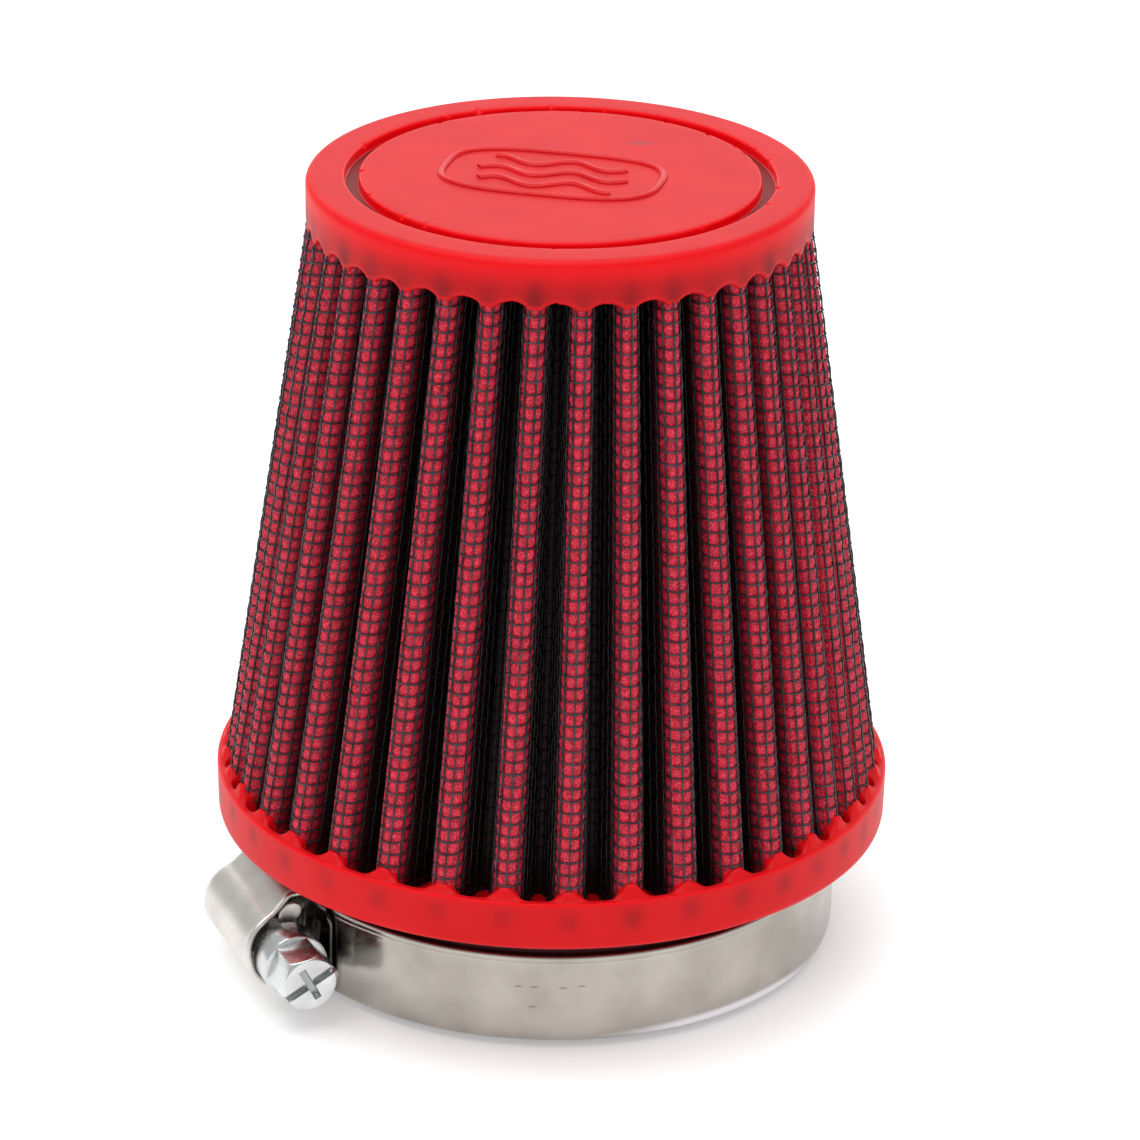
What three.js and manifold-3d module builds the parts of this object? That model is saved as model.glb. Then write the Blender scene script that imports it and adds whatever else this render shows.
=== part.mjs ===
// Clamp-on conical air filter: a pleated cotton and wire cone, potted in a soft
// moulded cap and a soft moulded base flange, with a worm-drive hose clamp on the
// flange's neck. Millimetres, +Z up, origin on the axis at the neck's open end.
import * as THREE from "three";
import { mergeVertices } from "three/addons/utils/BufferGeometryUtils.js";
import Module from "manifold-3d";

const wasm = await Module();
wasm.setup();

// ---- driving dimensions ----
const BORE_RADIUS = 32.5;          // fits a 65 mm intake stub
const NECK_RADIUS = 36.1;
const NECK_LENGTH = 17.6;
const NECK_CHAMFER_RADIUS = 34.2;
const NECK_CHAMFER_HEIGHT = 1.0;
const FLANGE_RADIUS = 43.3;
const FLANGE_TOP = 23.7;
const BODY_HEIGHT = 85.0;          // flange bottom to cap top
const CAP_RADIUS = 31.5;
const CAP_SKIRT_HEIGHT = 6.0;
const CAP_EDGE_RADIUS = 0.8;
const GROOVE_OUTER_RADIUS = 26.66;
const GROOVE_INNER_RADIUS = 24.9;
const GROOVE_DEPTH = 1.2;
const ROUND_STEPS = 72;

// The folded media: straight pleats on a cone, potted a few millimetres deep.
const PLEATS = 39;
const PLEAT_DEPTH = 7.4;
const POTTING_DEPTH = 3.0;
const PLEAT_INSET = 0.45;          // fold tips lie this far inside the cap and flange walls
const CONE_RADIUS_AT_FLANGE = 42.27;
const CONE_RADIUS_AT_CAP = 31.51;
const LOBE_HALF_WIDTH_AT_FLANGE = 2.0;
const LOBE_HALF_WIDTH_AT_CAP = 1.55;
const VALLEY_HALF_WIDTH = 0.3;
const FIRST_FOLD_AT_FLANGE = 270.5;  // degrees round the axis
const FIRST_FOLD_AT_CAP = 273.8;
const FOLD_DRIFT_AT_FLANGE = 5.18;   // hand-folded pleats bunch up on two sides
const FOLD_DRIFT_AT_CAP = 3.9;
const DRIFT_PHASE_AT_FLANGE = 299.1;
const DRIFT_PHASE_AT_CAP = 306.9;
const WIRE_MESH_THICKNESS = 0.26;
const GAUZE_THICKNESS = 0.18;
const GAUZE_LAYERS = 3;
const LAYER_GAP = 0.035;
const POTTING_CLEARANCE = 0.15;

// The worm-drive clamp, drawn with its housing on the local +X side.
const CLAMP_ANGLE = 203.2;         // degrees round the axis
const BAND_WIDTH = 12.0;
const BAND_BOTTOM = 1.2;
const BAND_INNER_RADIUS = 36.2;
const BAND_THICKNESS = 0.8;
const BAND_START = 16.2;           // degrees from the housing, past the saddle's front
const BAND_END = 347.4;
const SADDLE_START = -12.0;
const SADDLE_END = 15.5;
const HOUSING_HALF_WIDTH = 7.15;
const HOUSING_WALL = 0.75;
const HOUSING_BACK = -7.0;         // along the screw
const HOUSING_FRONT = 9.0;
const BARREL_RADIUS = 5.05;
const TAIL_INNER_RADIUS = 37.1;
const TAIL_THICKNESS = 0.6;
const TAIL_START = -30.0;
const TAIL_END = 19.8;
const SLOT_WIDTH = 1.8;
const SLOT_LENGTH = 7.4;
const FIRST_SLOT = -5;
const LAST_SLOT = 3;
const SCREW_AXIS_RADIUS = 40.7;
const THREAD_LEAD = 3.2;
const THREAD_RADIUS = 3.3;
const THREAD_ROOT_RADIUS = 2.5;
const THREAD_TURNS = 4;
const COLLAR_RADIUS = 4.2;
const COLLAR_START = 9.8;
const HEX_START = 14.7;
const HEX_END = 19.7;
const HEX_ACROSS_FLATS = 7.0;
const DRIVE_SLOT_WIDTH = 0.95;
const DRIVE_SLOT_DEPTH = 1.3;
const CROSS_SLOT_LENGTH = 4.6;

// ---- derived heights and radii ----
const TOP = NECK_LENGTH + BODY_HEIGHT;
const SKIRT_BOTTOM = TOP - CAP_SKIRT_HEIGHT;
const PACK_BOTTOM = FLANGE_TOP - POTTING_DEPTH;
const PACK_TOP = SKIRT_BOTTOM + POTTING_DEPTH;
const PACK_THICKNESS =
  2 * WIRE_MESH_THICKNESS + GAUZE_LAYERS * GAUZE_THICKNESS + (GAUZE_LAYERS + 1) * LAYER_GAP;
const SCREW_HEIGHT = BAND_BOTTOM + BAND_WIDTH / 2;
const BAND_OUTER_RADIUS = BAND_INNER_RADIUS + BAND_THICKNESS;

const radians = THREE.MathUtils.degToRad;
const lerp = THREE.MathUtils.lerp;

// ---- materials ----
function finish(color, roughness, metalness) {
  return new THREE.MeshStandardMaterial({ color, roughness, metalness });
}

const redRubber = finish(0xd0262b, 0.5, 0.0);
const redCotton = finish(0xa8283a, 0.9, 0.0);
const wireMesh = finish(0x3a3638, 0.6, 0.5);
const polishedSteel = finish(0xa8a096, 0.25, 1.0);
const satinSteel = finish(0xb8b6ae, 0.35, 1.0);
const zincSteel = finish(0xc4c8c8, 0.3, 1.0);

// ---- solids ----
function weld(geometry) {
  const bare = geometry.clone();
  bare.deleteAttribute("normal");
  bare.deleteAttribute("uv");
  return mergeVertices(bare, 1e-4);
}

function toSolid(geometry) {
  const welded = weld(geometry);
  return new wasm.Manifold(new wasm.Mesh({
    numProp: 3,
    vertProperties: new Float32Array(welded.attributes.position.array),
    triVerts: new Uint32Array(welded.index.array),
  }));
}

function toGeometry(solid) {
  const mesh = solid.getMesh();
  const geometry = new THREE.BufferGeometry();
  geometry.setAttribute("position", new THREE.BufferAttribute(mesh.vertProperties, 3));
  geometry.setIndex(new THREE.BufferAttribute(mesh.triVerts, 1));
  return geometry;
}

// A closed band of loops: each loop has the same number of points, and the last
// loop joins the first. With open = true the two end loops are capped instead.
// The diagonals of rising and falling strips lean alike, so nested skins stay parallel.
function skinLoops(loops, open = false) {
  const count = loops[0].length;
  const positions = loops.flat().flatMap((point) => [point.x, point.y, point.z]);
  const triangles = [];
  const strips = open ? loops.length - 1 : loops.length;
  for (let i = 0; i < strips; i += 1) {
    const here = i * count;
    const next = ((i + 1) % loops.length) * count;
    const rising = loops[(i + 1) % loops.length][0].z >= loops[i][0].z;
    for (let j = 0; j < count; j += 1) {
      const k = (j + 1) % count;
      if (rising) {
        triangles.push(here + j, here + k, next + j);
        triangles.push(here + k, next + k, next + j);
      } else {
        triangles.push(here + j, here + k, next + k);
        triangles.push(here + j, next + k, next + j);
      }
    }
  }
  if (open) {
    const last = (loops.length - 1) * count;
    for (let j = 1; j < count - 1; j += 1) {
      triangles.push(0, j + 1, j);
      triangles.push(last, last + j, last + j + 1);
    }
  }
  const geometry = new THREE.BufferGeometry();
  geometry.setAttribute("position", new THREE.Float32BufferAttribute(positions, 3));
  geometry.setIndex(triangles);
  return geometry;
}

// A solid of revolution about +Z. The outline is [radius, height] pairs, up the
// outside first.
function turned(outline, steps = ROUND_STEPS) {
  const points = outline.map(([radius, height]) => new THREE.Vector2(radius, height));
  return new THREE.LatheGeometry(points, steps).rotateX(Math.PI / 2);
}

// A curved bar of rectangular section, from one angle to another round +Z.
function curvedBar(inner, outer, bottom, top, startDegrees, endDegrees) {
  const steps = Math.max(2, Math.ceil((endDegrees - startDegrees) / 5));
  const loops = [];
  for (let i = 0; i <= steps; i += 1) {
    const angle = radians(lerp(startDegrees, endDegrees, i / steps));
    const corner = (radius, height) =>
      new THREE.Vector3(radius * Math.cos(angle), radius * Math.sin(angle), height);
    loops.push([corner(inner, bottom), corner(inner, top), corner(outer, top), corner(outer, bottom)]);
  }
  return skinLoops(loops, true);
}

// ---- pleated media ----
function foldAngle(fold, level) {
  const pitch = 360 / PLEATS;
  const drifted = (first, drift, phase) => {
    const even = first + fold * pitch;
    return even + drift * Math.cos(radians(2 * (even - phase)));
  };
  return lerp(
    drifted(FIRST_FOLD_AT_FLANGE, FOLD_DRIFT_AT_FLANGE, DRIFT_PHASE_AT_FLANGE),
    drifted(FIRST_FOLD_AT_CAP, FOLD_DRIFT_AT_CAP, DRIFT_PHASE_AT_CAP),
    level,
  );
}

// The pleated outline at one height, moved inwards through the media by depth.
function pleatLoop(height, depth) {
  const level = (height - FLANGE_TOP) / (SKIRT_BOTTOM - FLANGE_TOP);
  const surface = lerp(CONE_RADIUS_AT_FLANGE, CONE_RADIUS_AT_CAP, level) - PLEAT_INSET;
  const tipRadius = surface - depth;
  const valleyRadius = surface - PLEAT_DEPTH - depth;
  const lobe = lerp(LOBE_HALF_WIDTH_AT_FLANGE, LOBE_HALF_WIDTH_AT_CAP, level) - depth;
  const valley = VALLEY_HALF_WIDTH + depth;
  const loop = [];
  const place = (degrees, radius, sideways) => {
    const angle = radians(degrees) + sideways / radius;
    loop.push(new THREE.Vector3(radius * Math.cos(angle), radius * Math.sin(angle), height));
  };
  for (let fold = 0; fold < PLEATS; fold += 1) {
    const tip = foldAngle(fold, level);
    const nextTip = foldAngle(fold + 1, level);
    const middle = (tip + nextTip) / 2;
    place(tip, tipRadius, -lobe);
    place(tip, tipRadius, lobe);
    place(middle, valleyRadius, -valley);
    place(middle, valleyRadius, valley);
  }
  return loop;
}

function pleatedLayer(outerDepth, innerDepth, bottom, top) {
  return skinLoops([
    pleatLoop(bottom, outerDepth),
    pleatLoop(top, outerDepth),
    pleatLoop(top, innerDepth),
    pleatLoop(bottom, innerDepth),
  ]);
}

// ---- moulded ends ----
function pottingCavity(bottom, top) {
  return toSolid(pleatedLayer(-POTTING_CLEARANCE, PACK_THICKNESS + POTTING_CLEARANCE, bottom, top));
}

function topCap() {
  const collarRadius = 21.0;
  const centreThickness = 4.0;
  const edgeSteps = 3;
  const outline = [[0, TOP - centreThickness], [collarRadius, TOP - centreThickness]];
  outline.push([collarRadius, SKIRT_BOTTOM], [CAP_RADIUS, SKIRT_BOTTOM]);
  for (let i = 0; i <= edgeSteps; i += 1) {
    const turn = (Math.PI / 2) * (i / edgeSteps);
    outline.push([
      CAP_RADIUS - CAP_EDGE_RADIUS * (1 - Math.cos(turn)),
      TOP - CAP_EDGE_RADIUS * (1 - Math.sin(turn)),
    ]);
  }
  outline.push([GROOVE_OUTER_RADIUS, TOP], [GROOVE_OUTER_RADIUS, TOP - GROOVE_DEPTH]);
  outline.push([GROOVE_INNER_RADIUS, TOP - GROOVE_DEPTH], [GROOVE_INNER_RADIUS, TOP], [0, TOP]);
  const blank = toSolid(turned(outline));
  const cavity = pottingCavity(SKIRT_BOTTOM - POTTING_DEPTH, PACK_TOP + POTTING_CLEARANCE);
  return toGeometry(blank.subtract(cavity));
}

function baseFlange() {
  const crestRadius = 0.9;
  const draft = 0.3;
  const boreChamfer = 0.4;
  const innerEdge = 0.5;
  const outline = [
    [BORE_RADIUS + boreChamfer, 0],
    [NECK_CHAMFER_RADIUS, 0],
    [NECK_RADIUS, NECK_CHAMFER_HEIGHT],
    [NECK_RADIUS, NECK_LENGTH],
    [FLANGE_RADIUS - draft, NECK_LENGTH],
    [FLANGE_RADIUS, FLANGE_TOP - crestRadius],
    [FLANGE_RADIUS - 0.3 * crestRadius, FLANGE_TOP - 0.3 * crestRadius],
    [FLANGE_RADIUS - crestRadius, FLANGE_TOP],
    [BORE_RADIUS + innerEdge, FLANGE_TOP],
    [BORE_RADIUS, FLANGE_TOP - innerEdge],
    [BORE_RADIUS, boreChamfer],
    [BORE_RADIUS + boreChamfer, 0],
  ];
  const blank = toSolid(turned(outline));
  const cavity = pottingCavity(PACK_BOTTOM - POTTING_CLEARANCE, FLANGE_TOP + POTTING_DEPTH);
  return toGeometry(blank.subtract(cavity));
}

// A thin strip bonded over the fold where the two ends of the media meet.
function seamStrip() {
  const seamFold = 19;
  const halfWidth = 1.2;
  const thickness = 0.4;
  const end = (height) => {
    const level = (height - FLANGE_TOP) / (SKIRT_BOTTOM - FLANGE_TOP);
    const cone = lerp(CONE_RADIUS_AT_FLANGE, CONE_RADIUS_AT_CAP, level);
    const radius = cone - PLEAT_INSET - PLEAT_DEPTH - PACK_THICKNESS - 0.15;
    const angle = radians((foldAngle(seamFold, level) + foldAngle(seamFold + 1, level)) / 2);
    const corner = (along, across) => new THREE.Vector3(
      along * Math.cos(angle) - across * Math.sin(angle),
      along * Math.sin(angle) + across * Math.cos(angle),
      height,
    );
    return [
      corner(radius - thickness, -halfWidth),
      corner(radius, -halfWidth),
      corner(radius, halfWidth),
      corner(radius - thickness, halfWidth),
    ];
  };
  return skinLoops([end(FLANGE_TOP + 0.6), end(SKIRT_BOTTOM - 0.6)], true);
}

// ---- clamp ----
function clampHousing() {
  const footInner = HOUSING_HALF_WIDTH - HOUSING_WALL;
  const footLevel = BAND_OUTER_RADIUS + 0.12;
  const shoulderLevel = 38.6;
  const arcSteps = 14;
  const outline = new THREE.Shape();
  const side = (radius, waist) => Math.sqrt(radius * radius - (SCREW_AXIS_RADIUS - waist) ** 2);
  // The section lies in a plane with x across the band and y outwards.
  const arc = (radius, waist, direction) => {
    const half = side(radius, waist);
    const start = Math.atan2(waist - SCREW_AXIS_RADIUS, half * direction);
    const sweep = direction * (Math.PI - 2 * Math.atan2(waist - SCREW_AXIS_RADIUS, half));
    for (let i = 0; i <= arcSteps; i += 1) {
      const turn = start + sweep * (i / arcSteps);
      outline.lineTo(radius * Math.cos(turn), SCREW_AXIS_RADIUS + radius * Math.sin(turn));
    }
  };
  outline.moveTo(footInner, footLevel);
  outline.lineTo(HOUSING_HALF_WIDTH, footLevel);
  outline.lineTo(HOUSING_HALF_WIDTH, shoulderLevel);
  outline.lineTo(HOUSING_HALF_WIDTH - 0.6, shoulderLevel + 0.35);
  arc(BARREL_RADIUS, shoulderLevel + 0.6, 1);
  outline.lineTo(-HOUSING_HALF_WIDTH + 0.6, shoulderLevel + 0.35);
  outline.lineTo(-HOUSING_HALF_WIDTH, shoulderLevel);
  outline.lineTo(-HOUSING_HALF_WIDTH, footLevel);
  outline.lineTo(-footInner, footLevel);
  outline.lineTo(-footInner, shoulderLevel - HOUSING_WALL);
  arc(BARREL_RADIUS - HOUSING_WALL, shoulderLevel - 0.1, -1);
  outline.lineTo(footInner, shoulderLevel - HOUSING_WALL);
  outline.closePath();
  const length = HOUSING_FRONT - HOUSING_BACK;
  const section = new THREE.ExtrudeGeometry(outline, { depth: length, bevelEnabled: false });
  // Section x becomes +Z, section y becomes +X, and the extrusion runs along +Y.
  const turn = new THREE.Matrix4().makeBasis(
    new THREE.Vector3(0, 0, 1),
    new THREE.Vector3(1, 0, 0),
    new THREE.Vector3(0, 1, 0),
  );
  return section.applyMatrix4(turn).translate(0, HOUSING_BACK, SCREW_HEIGHT);
}

function clampSaddle() {
  const bottom = SCREW_HEIGHT - HOUSING_HALF_WIDTH;
  const top = SCREW_HEIGHT + HOUSING_HALF_WIDTH;
  return curvedBar(BAND_INNER_RADIUS + 0.05, BAND_OUTER_RADIUS, bottom, top, SADDLE_START, SADDLE_END);
}

function clampBandTail() {
  const outer = TAIL_INNER_RADIUS + TAIL_THICKNESS;
  const middle = TAIL_INNER_RADIUS + TAIL_THICKNESS / 2;
  const strap = curvedBar(
    TAIL_INNER_RADIUS, outer, BAND_BOTTOM, BAND_BOTTOM + BAND_WIDTH, TAIL_START, TAIL_END,
  );
  const helixAngle = Math.atan2(THREAD_LEAD, 2 * Math.PI * THREAD_RADIUS);
  let solid = toSolid(strap);
  for (let slot = FIRST_SLOT; slot <= LAST_SLOT; slot += 1) {
    const cutter = new THREE.BoxGeometry(4 * TAIL_THICKNESS, SLOT_WIDTH, SLOT_LENGTH)
      .rotateX(-helixAngle)
      .translate(middle, 0, SCREW_HEIGHT)
      .rotateZ((slot * THREAD_LEAD) / middle);
    solid = solid.subtract(toSolid(cutter));
  }
  return toGeometry(solid);
}

// A round bar along +Y with a right-handed ridge wound on it, seen from the head, and
// a round collar at its head end. The ridge fades out at both ends.
function wormAndCollar() {
  const sides = 24;
  const rowsPerTurn = 8;
  const crestShare = 0.26;
  const footShare = 0.48;
  const halfThread = (THREAD_TURNS * THREAD_LEAD) / 2;
  const ridge = (along, angle) => {
    const phase = along / THREAD_LEAD + angle / (2 * Math.PI);
    const offCrest = 2 * Math.abs(phase - Math.round(phase));
    const height = THREE.MathUtils.clamp((footShare - offCrest) / (footShare - crestShare), 0, 1);
    const fade = THREE.MathUtils.clamp((halfThread - Math.abs(along)) / (THREAD_LEAD / 2), 0, 1);
    return (THREAD_RADIUS - THREAD_ROOT_RADIUS) * height * fade;
  };
  const loops = [];
  const addLoop = (along, radiusAt) => {
    const loop = [];
    for (let side = 0; side < sides; side += 1) {
      const angle = (-2 * Math.PI * side) / sides;
      const radius = radiusAt(angle);
      loop.push(new THREE.Vector3(-radius * Math.cos(angle), along, -radius * Math.sin(angle)));
    }
    loops.push(loop);
  };
  const rows = THREAD_TURNS * rowsPerTurn;
  for (let row = 0; row <= rows; row += 1) {
    const along = lerp(-halfThread, halfThread, row / rows);
    addLoop(along, (angle) => THREAD_ROOT_RADIUS + ridge(along, angle));
  }
  addLoop(COLLAR_START, () => THREAD_ROOT_RADIUS);
  addLoop(COLLAR_START, () => COLLAR_RADIUS);
  addLoop(HEX_START, () => COLLAR_RADIUS);
  return skinLoops(loops, true);
}

function clampScrew() {
  const hexRadius = HEX_ACROSS_FLATS / Math.sqrt(3);
  const buried = 1.0;
  const hexLength = HEX_END - HEX_START + buried;
  const hexHead = new THREE.CylinderGeometry(hexRadius, hexRadius, hexLength, 6)
    .translate(0, HEX_END - hexLength / 2, 0);
  const slotBox = (length) => new THREE.BoxGeometry(DRIVE_SLOT_WIDTH, 2 * DRIVE_SLOT_DEPTH, length)
    .translate(0, HEX_END, 0);
  const solid = toSolid(wormAndCollar())
    .add(toSolid(hexHead))
    .subtract(toSolid(slotBox(4 * hexRadius)))
    .subtract(toSolid(slotBox(CROSS_SLOT_LENGTH).rotateY(Math.PI / 2)));
  return toGeometry(solid).translate(SCREW_AXIS_RADIUS, 0, SCREW_HEIGHT);
}

// ---- assembly ----
const filter = new THREE.Group();

function addTo(parent, name, geometry, material) {
  const mesh = new THREE.Mesh(geometry, material);
  mesh.name = name;
  parent.add(mesh);
}

addTo(filter, "top_cap", topCap(), redRubber);
addTo(filter, "base_flange", baseFlange(), redRubber);

let depth = 0;
function addLayer(name, thickness, material) {
  addTo(filter, name, pleatedLayer(depth, depth + thickness, PACK_BOTTOM, PACK_TOP), material);
  depth += thickness + LAYER_GAP;
}

addLayer("outer_mesh", WIRE_MESH_THICKNESS, wireMesh);
for (let layer = 1; layer <= GAUZE_LAYERS; layer += 1) {
  addLayer(`gauze_layer_${layer}`, GAUZE_THICKNESS, redCotton);
}
addLayer("inner_mesh", WIRE_MESH_THICKNESS, wireMesh);
addTo(filter, "seam_strip", seamStrip(), satinSteel);

const clamp = new THREE.Group();
clamp.rotation.z = radians(CLAMP_ANGLE);
filter.add(clamp);

const bandTop = BAND_BOTTOM + BAND_WIDTH;
const bandLoop = curvedBar(
  BAND_INNER_RADIUS, BAND_OUTER_RADIUS, BAND_BOTTOM, bandTop, BAND_START, BAND_END,
);
addTo(clamp, "clamp_band", bandLoop, polishedSteel);
addTo(clamp, "clamp_saddle", clampSaddle(), satinSteel);
addTo(clamp, "clamp_housing", clampHousing(), satinSteel);
addTo(clamp, "clamp_band_tail", clampBandTail(), polishedSteel);
addTo(clamp, "clamp_screw", clampScrew(), zincSteel);

export default filter;
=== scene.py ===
"""A clamp-on cone air filter: red moulded ends, oiled cotton behind a woven wire screen,
and a worm-drive clamp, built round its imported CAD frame. Lengths are in millimetres until
a mesh is made, and angles are in degrees round the filter's axis."""
import math

import bmesh
import bpy
import numpy as np
from mathutils import Matrix, Vector


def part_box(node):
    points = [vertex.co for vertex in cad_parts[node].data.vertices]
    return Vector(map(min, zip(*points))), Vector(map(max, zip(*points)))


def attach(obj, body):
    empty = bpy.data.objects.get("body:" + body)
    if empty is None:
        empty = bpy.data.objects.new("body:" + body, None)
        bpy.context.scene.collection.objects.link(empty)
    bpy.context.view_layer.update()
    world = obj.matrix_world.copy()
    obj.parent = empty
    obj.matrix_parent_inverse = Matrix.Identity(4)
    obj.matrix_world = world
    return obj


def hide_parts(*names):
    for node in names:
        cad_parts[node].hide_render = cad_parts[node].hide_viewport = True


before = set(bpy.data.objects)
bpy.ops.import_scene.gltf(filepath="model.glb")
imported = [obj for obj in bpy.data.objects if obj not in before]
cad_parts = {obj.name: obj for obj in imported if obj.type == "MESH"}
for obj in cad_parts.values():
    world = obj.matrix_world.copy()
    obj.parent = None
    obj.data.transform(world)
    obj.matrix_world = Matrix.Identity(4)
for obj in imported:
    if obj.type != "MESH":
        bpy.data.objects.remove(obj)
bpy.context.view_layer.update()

MM = 0.001


def box_mm(node):
    """Lowest and highest corner of a CAD node, in millimetres."""
    low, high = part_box(node)
    return np.array(low) / MM, np.array(high) / MM


# ---- sizes from the frame
cap_low, cap_high = box_mm("top_cap")
flange_low, flange_high = box_mm("base_flange")
band_low, band_high = box_mm("clamp_band")
CAP_RADIUS = (cap_high[1] - cap_low[1]) / 2
TOP = cap_high[2]
SKIRT_BOTTOM = cap_low[2]
FLANGE_RADIUS = (flange_high[1] - flange_low[1]) / 2
FLANGE_TOP = flange_high[2]
NECK_BOTTOM = flange_low[2]
BAND_BOTTOM = band_low[2]
BAND_TOP = band_high[2]

# ---- sizes of the moulded ends
FLANGE_BOTTOM = FLANGE_TOP - 6.35
NECK_RADIUS = 36.1
BORE_RADIUS = 32.5
GROOVE_OUTER = 26.66
GROOVE_INNER = 24.9
GROOVE_DEPTH = 1.2

# ---- sizes of the folded media
FOLDS = 39
FOLD_DEPTH = 7.6
CONE_AT_FLANGE = 42.27
CONE_AT_CAP = 31.51
LOBE_AT_FLANGE = 2.0
LOBE_AT_CAP = 1.55
VALLEY_HALF_WIDTH = 0.42
FIRST_FOLD_AT_FLANGE = 270.5
FIRST_FOLD_AT_CAP = 273.8
DRIFT_AT_FLANGE = 5.18
DRIFT_AT_CAP = 3.9
DRIFT_PHASE_AT_FLANGE = 299.1
DRIFT_PHASE_AT_CAP = 306.9
WIRE_RADIUS = 0.13
WIRES_ROUND = 434
WIRE_ROWS = 50

# ---- sizes of the clamp
# Clamp pieces are drawn with the screw on the +X side, and then turned to CLAMP_ANGLE.
# HEX_TURN and SLOT_TURN are round the screw's own axis.
CLAMP_ANGLE = 203.2
CLAMP_HEIGHT = (BAND_BOTTOM + BAND_TOP) / 2
BAND_MIDDLE = 36.6
BAND_THICKNESS = 0.8
BAND_OUTSIDE = BAND_MIDDLE + BAND_THICKNESS / 2
BAND_ARC = (15.6, 347.4)
SADDLE_MIDDLE = 36.62
SADDLE_THICKNESS = 0.72
SADDLE_HALF_WIDTH = 7.15
SADDLE_ARC = (-12.0, 14.9)
HOUSING_HALF_WIDTH = 6.78
HOUSING_THICKNESS = 0.75
HOUSING_BACK = -6.7
HOUSING_FRONT = 8.75
SHOULDER_RADIUS = 38.9
BARREL_MIDDLE = 4.68
TAIL_MIDDLE = 37.4
TAIL_THICKNESS = 0.6
TAIL_ARC = (-30.0, 19.8)
SLOT_HALF_WIDTH = 0.9
SLOT_HALF_LENGTH = 3.7
SCREW_RADIUS = 40.7
THREAD_LEAD = 3.2
THREAD_RADIUS = 3.3
THREAD_ROOT = 2.5
COLLAR_RADIUS = 4.25
COLLAR_START = 10.3
HEX_START = 14.6
HEX_END = 19.7
HEX_CORNER_RADIUS = 4.04
HEX_FACE_RADIUS = 3.4
HEX_TURN = 50
SLOT_TURN = -27.6
SLOT_DEPTH = 1.1
CROSS_SLOT_DEPTH = 1.4


# ---- objects and meshes
def add_object(name, data):
    made = bpy.data.objects.new(name, data)
    bpy.context.scene.collection.objects.link(made)
    return made


def unit(vectors):
    return vectors / np.linalg.norm(vectors, axis=-1, keepdims=True)


def mesh_from_mm(name, points, faces):
    mesh = bpy.data.meshes.new(name)
    mesh.from_pydata((np.asarray(points, float) * MM).tolist(), [], faces)
    return mesh


def finish_mesh(name, points, faces, material, body):
    """A smooth piece from points in millimetres, riding on a CAD body."""
    mesh = mesh_from_mm(name, points, faces)
    mesh.validate()
    mesh.polygons.foreach_set("use_smooth", [True] * len(mesh.polygons))
    mesh.materials.append(material)
    piece = add_object(name, mesh)
    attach(piece, body)
    return piece


def grid_faces(rows, columns, wrap_rows=False, wrap_columns=False, first=0):
    """Quads of a grid of points stored row by row."""
    row_count = rows if wrap_rows else rows - 1
    column_count = columns if wrap_columns else columns - 1
    i, j = np.meshgrid(np.arange(row_count), np.arange(column_count), indexing="ij")
    next_i = (i + 1) % rows
    next_j = (j + 1) % columns
    quads = np.stack([
        i * columns + j,
        i * columns + next_j,
        next_i * columns + next_j,
        next_i * columns + j,
    ], axis=-1)
    return (quads.reshape(-1, 4) + first).tolist()


def set_attribute(piece, name, values, domain="POINT"):
    """A number at each point or face, which the material reads."""
    attribute = piece.data.attributes.new(name, "FLOAT", domain)
    attribute.data.foreach_set("value", np.asarray(values, np.float32).ravel())


def turned(points, degrees):
    """Points turned round the filter's axis."""
    turn = math.radians(degrees)
    x, y, z = np.moveaxis(np.asarray(points, float), -1, 0)
    return np.stack([
        x * math.cos(turn) - y * math.sin(turn),
        x * math.sin(turn) + y * math.cos(turn),
        z,
    ], axis=-1)


def signed_power(wave, power):
    """Squares off or sharpens a wave between -1 and 1."""
    return np.sign(wave) * np.abs(wave) ** power


def smoothstep(low, high, value):
    t = np.clip((value - low) / (high - low), 0, 1)
    return t * t * (3 - 2 * t)


# ---- materials
def node_material(name):
    material = bpy.data.materials.new(name)
    material.use_nodes = True
    tree = material.node_tree
    return material, tree, tree.nodes["Principled BSDF"]


def set_sockets(node, **values):
    """Sets a node's inputs, to plain values or to the sockets that feed them."""
    for name, value in values.items():
        target = node.inputs[name.replace("_", " ")]
        if isinstance(value, bpy.types.NodeSocket):
            node.id_data.links.new(value, target)
        else:
            target.default_value = value


def add_node(tree, kind, **values):
    node = tree.nodes.new("ShaderNode" + kind)
    set_sockets(node, **values)
    return node


def object_place(tree, scale=(1, 1, 1), shift=(0, 0, 0)):
    """The piece's own coordinates in metres, scaled and then shifted."""
    coordinates = add_node(tree, "TexCoord").outputs["Object"]
    mapping = add_node(tree, "Mapping", Vector=coordinates, Scale=scale, Location=shift)
    return mapping.outputs["Vector"]


def object_noise(tree, scale, detail=3.0, roughness=0.5, stretch=(1, 1, 1)):
    """Noise in the piece's own coordinates. scale is in bumps per metre."""
    noise = add_node(tree, "TexNoise", Scale=scale, Detail=detail, Roughness=roughness)
    set_sockets(noise, Vector=object_place(tree, stretch))
    return noise.outputs["Fac"]


def thread_gaps(tree, scale):
    """Distance from scattered points, about scale of them to a metre."""
    cells = add_node(tree, "TexVoronoi", Scale=scale, Randomness=0.7, Vector=object_place(tree))
    return cells.outputs["Distance"]


def ramp(tree, value, stops):
    """A colour ramp of (position, colour) stops."""
    node = add_node(tree, "ValToRGB", Fac=value)
    elements = node.color_ramp.elements
    while len(elements) < len(stops):
        elements.new(0.5)
    for element, (position, color) in zip(elements, stops):
        element.position = position
        element.color = (*color, 1)
    return node.outputs["Color"]


def number_ramp(tree, value, low, high, from_low=0.3, from_high=0.7):
    """Runs from low to high as the value goes from from_low to from_high."""
    node = add_node(
        tree, "MapRange", Value=value, From_Min=from_low, From_Max=from_high, To_Min=low, To_Max=high)
    return node.outputs["Result"]


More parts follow.
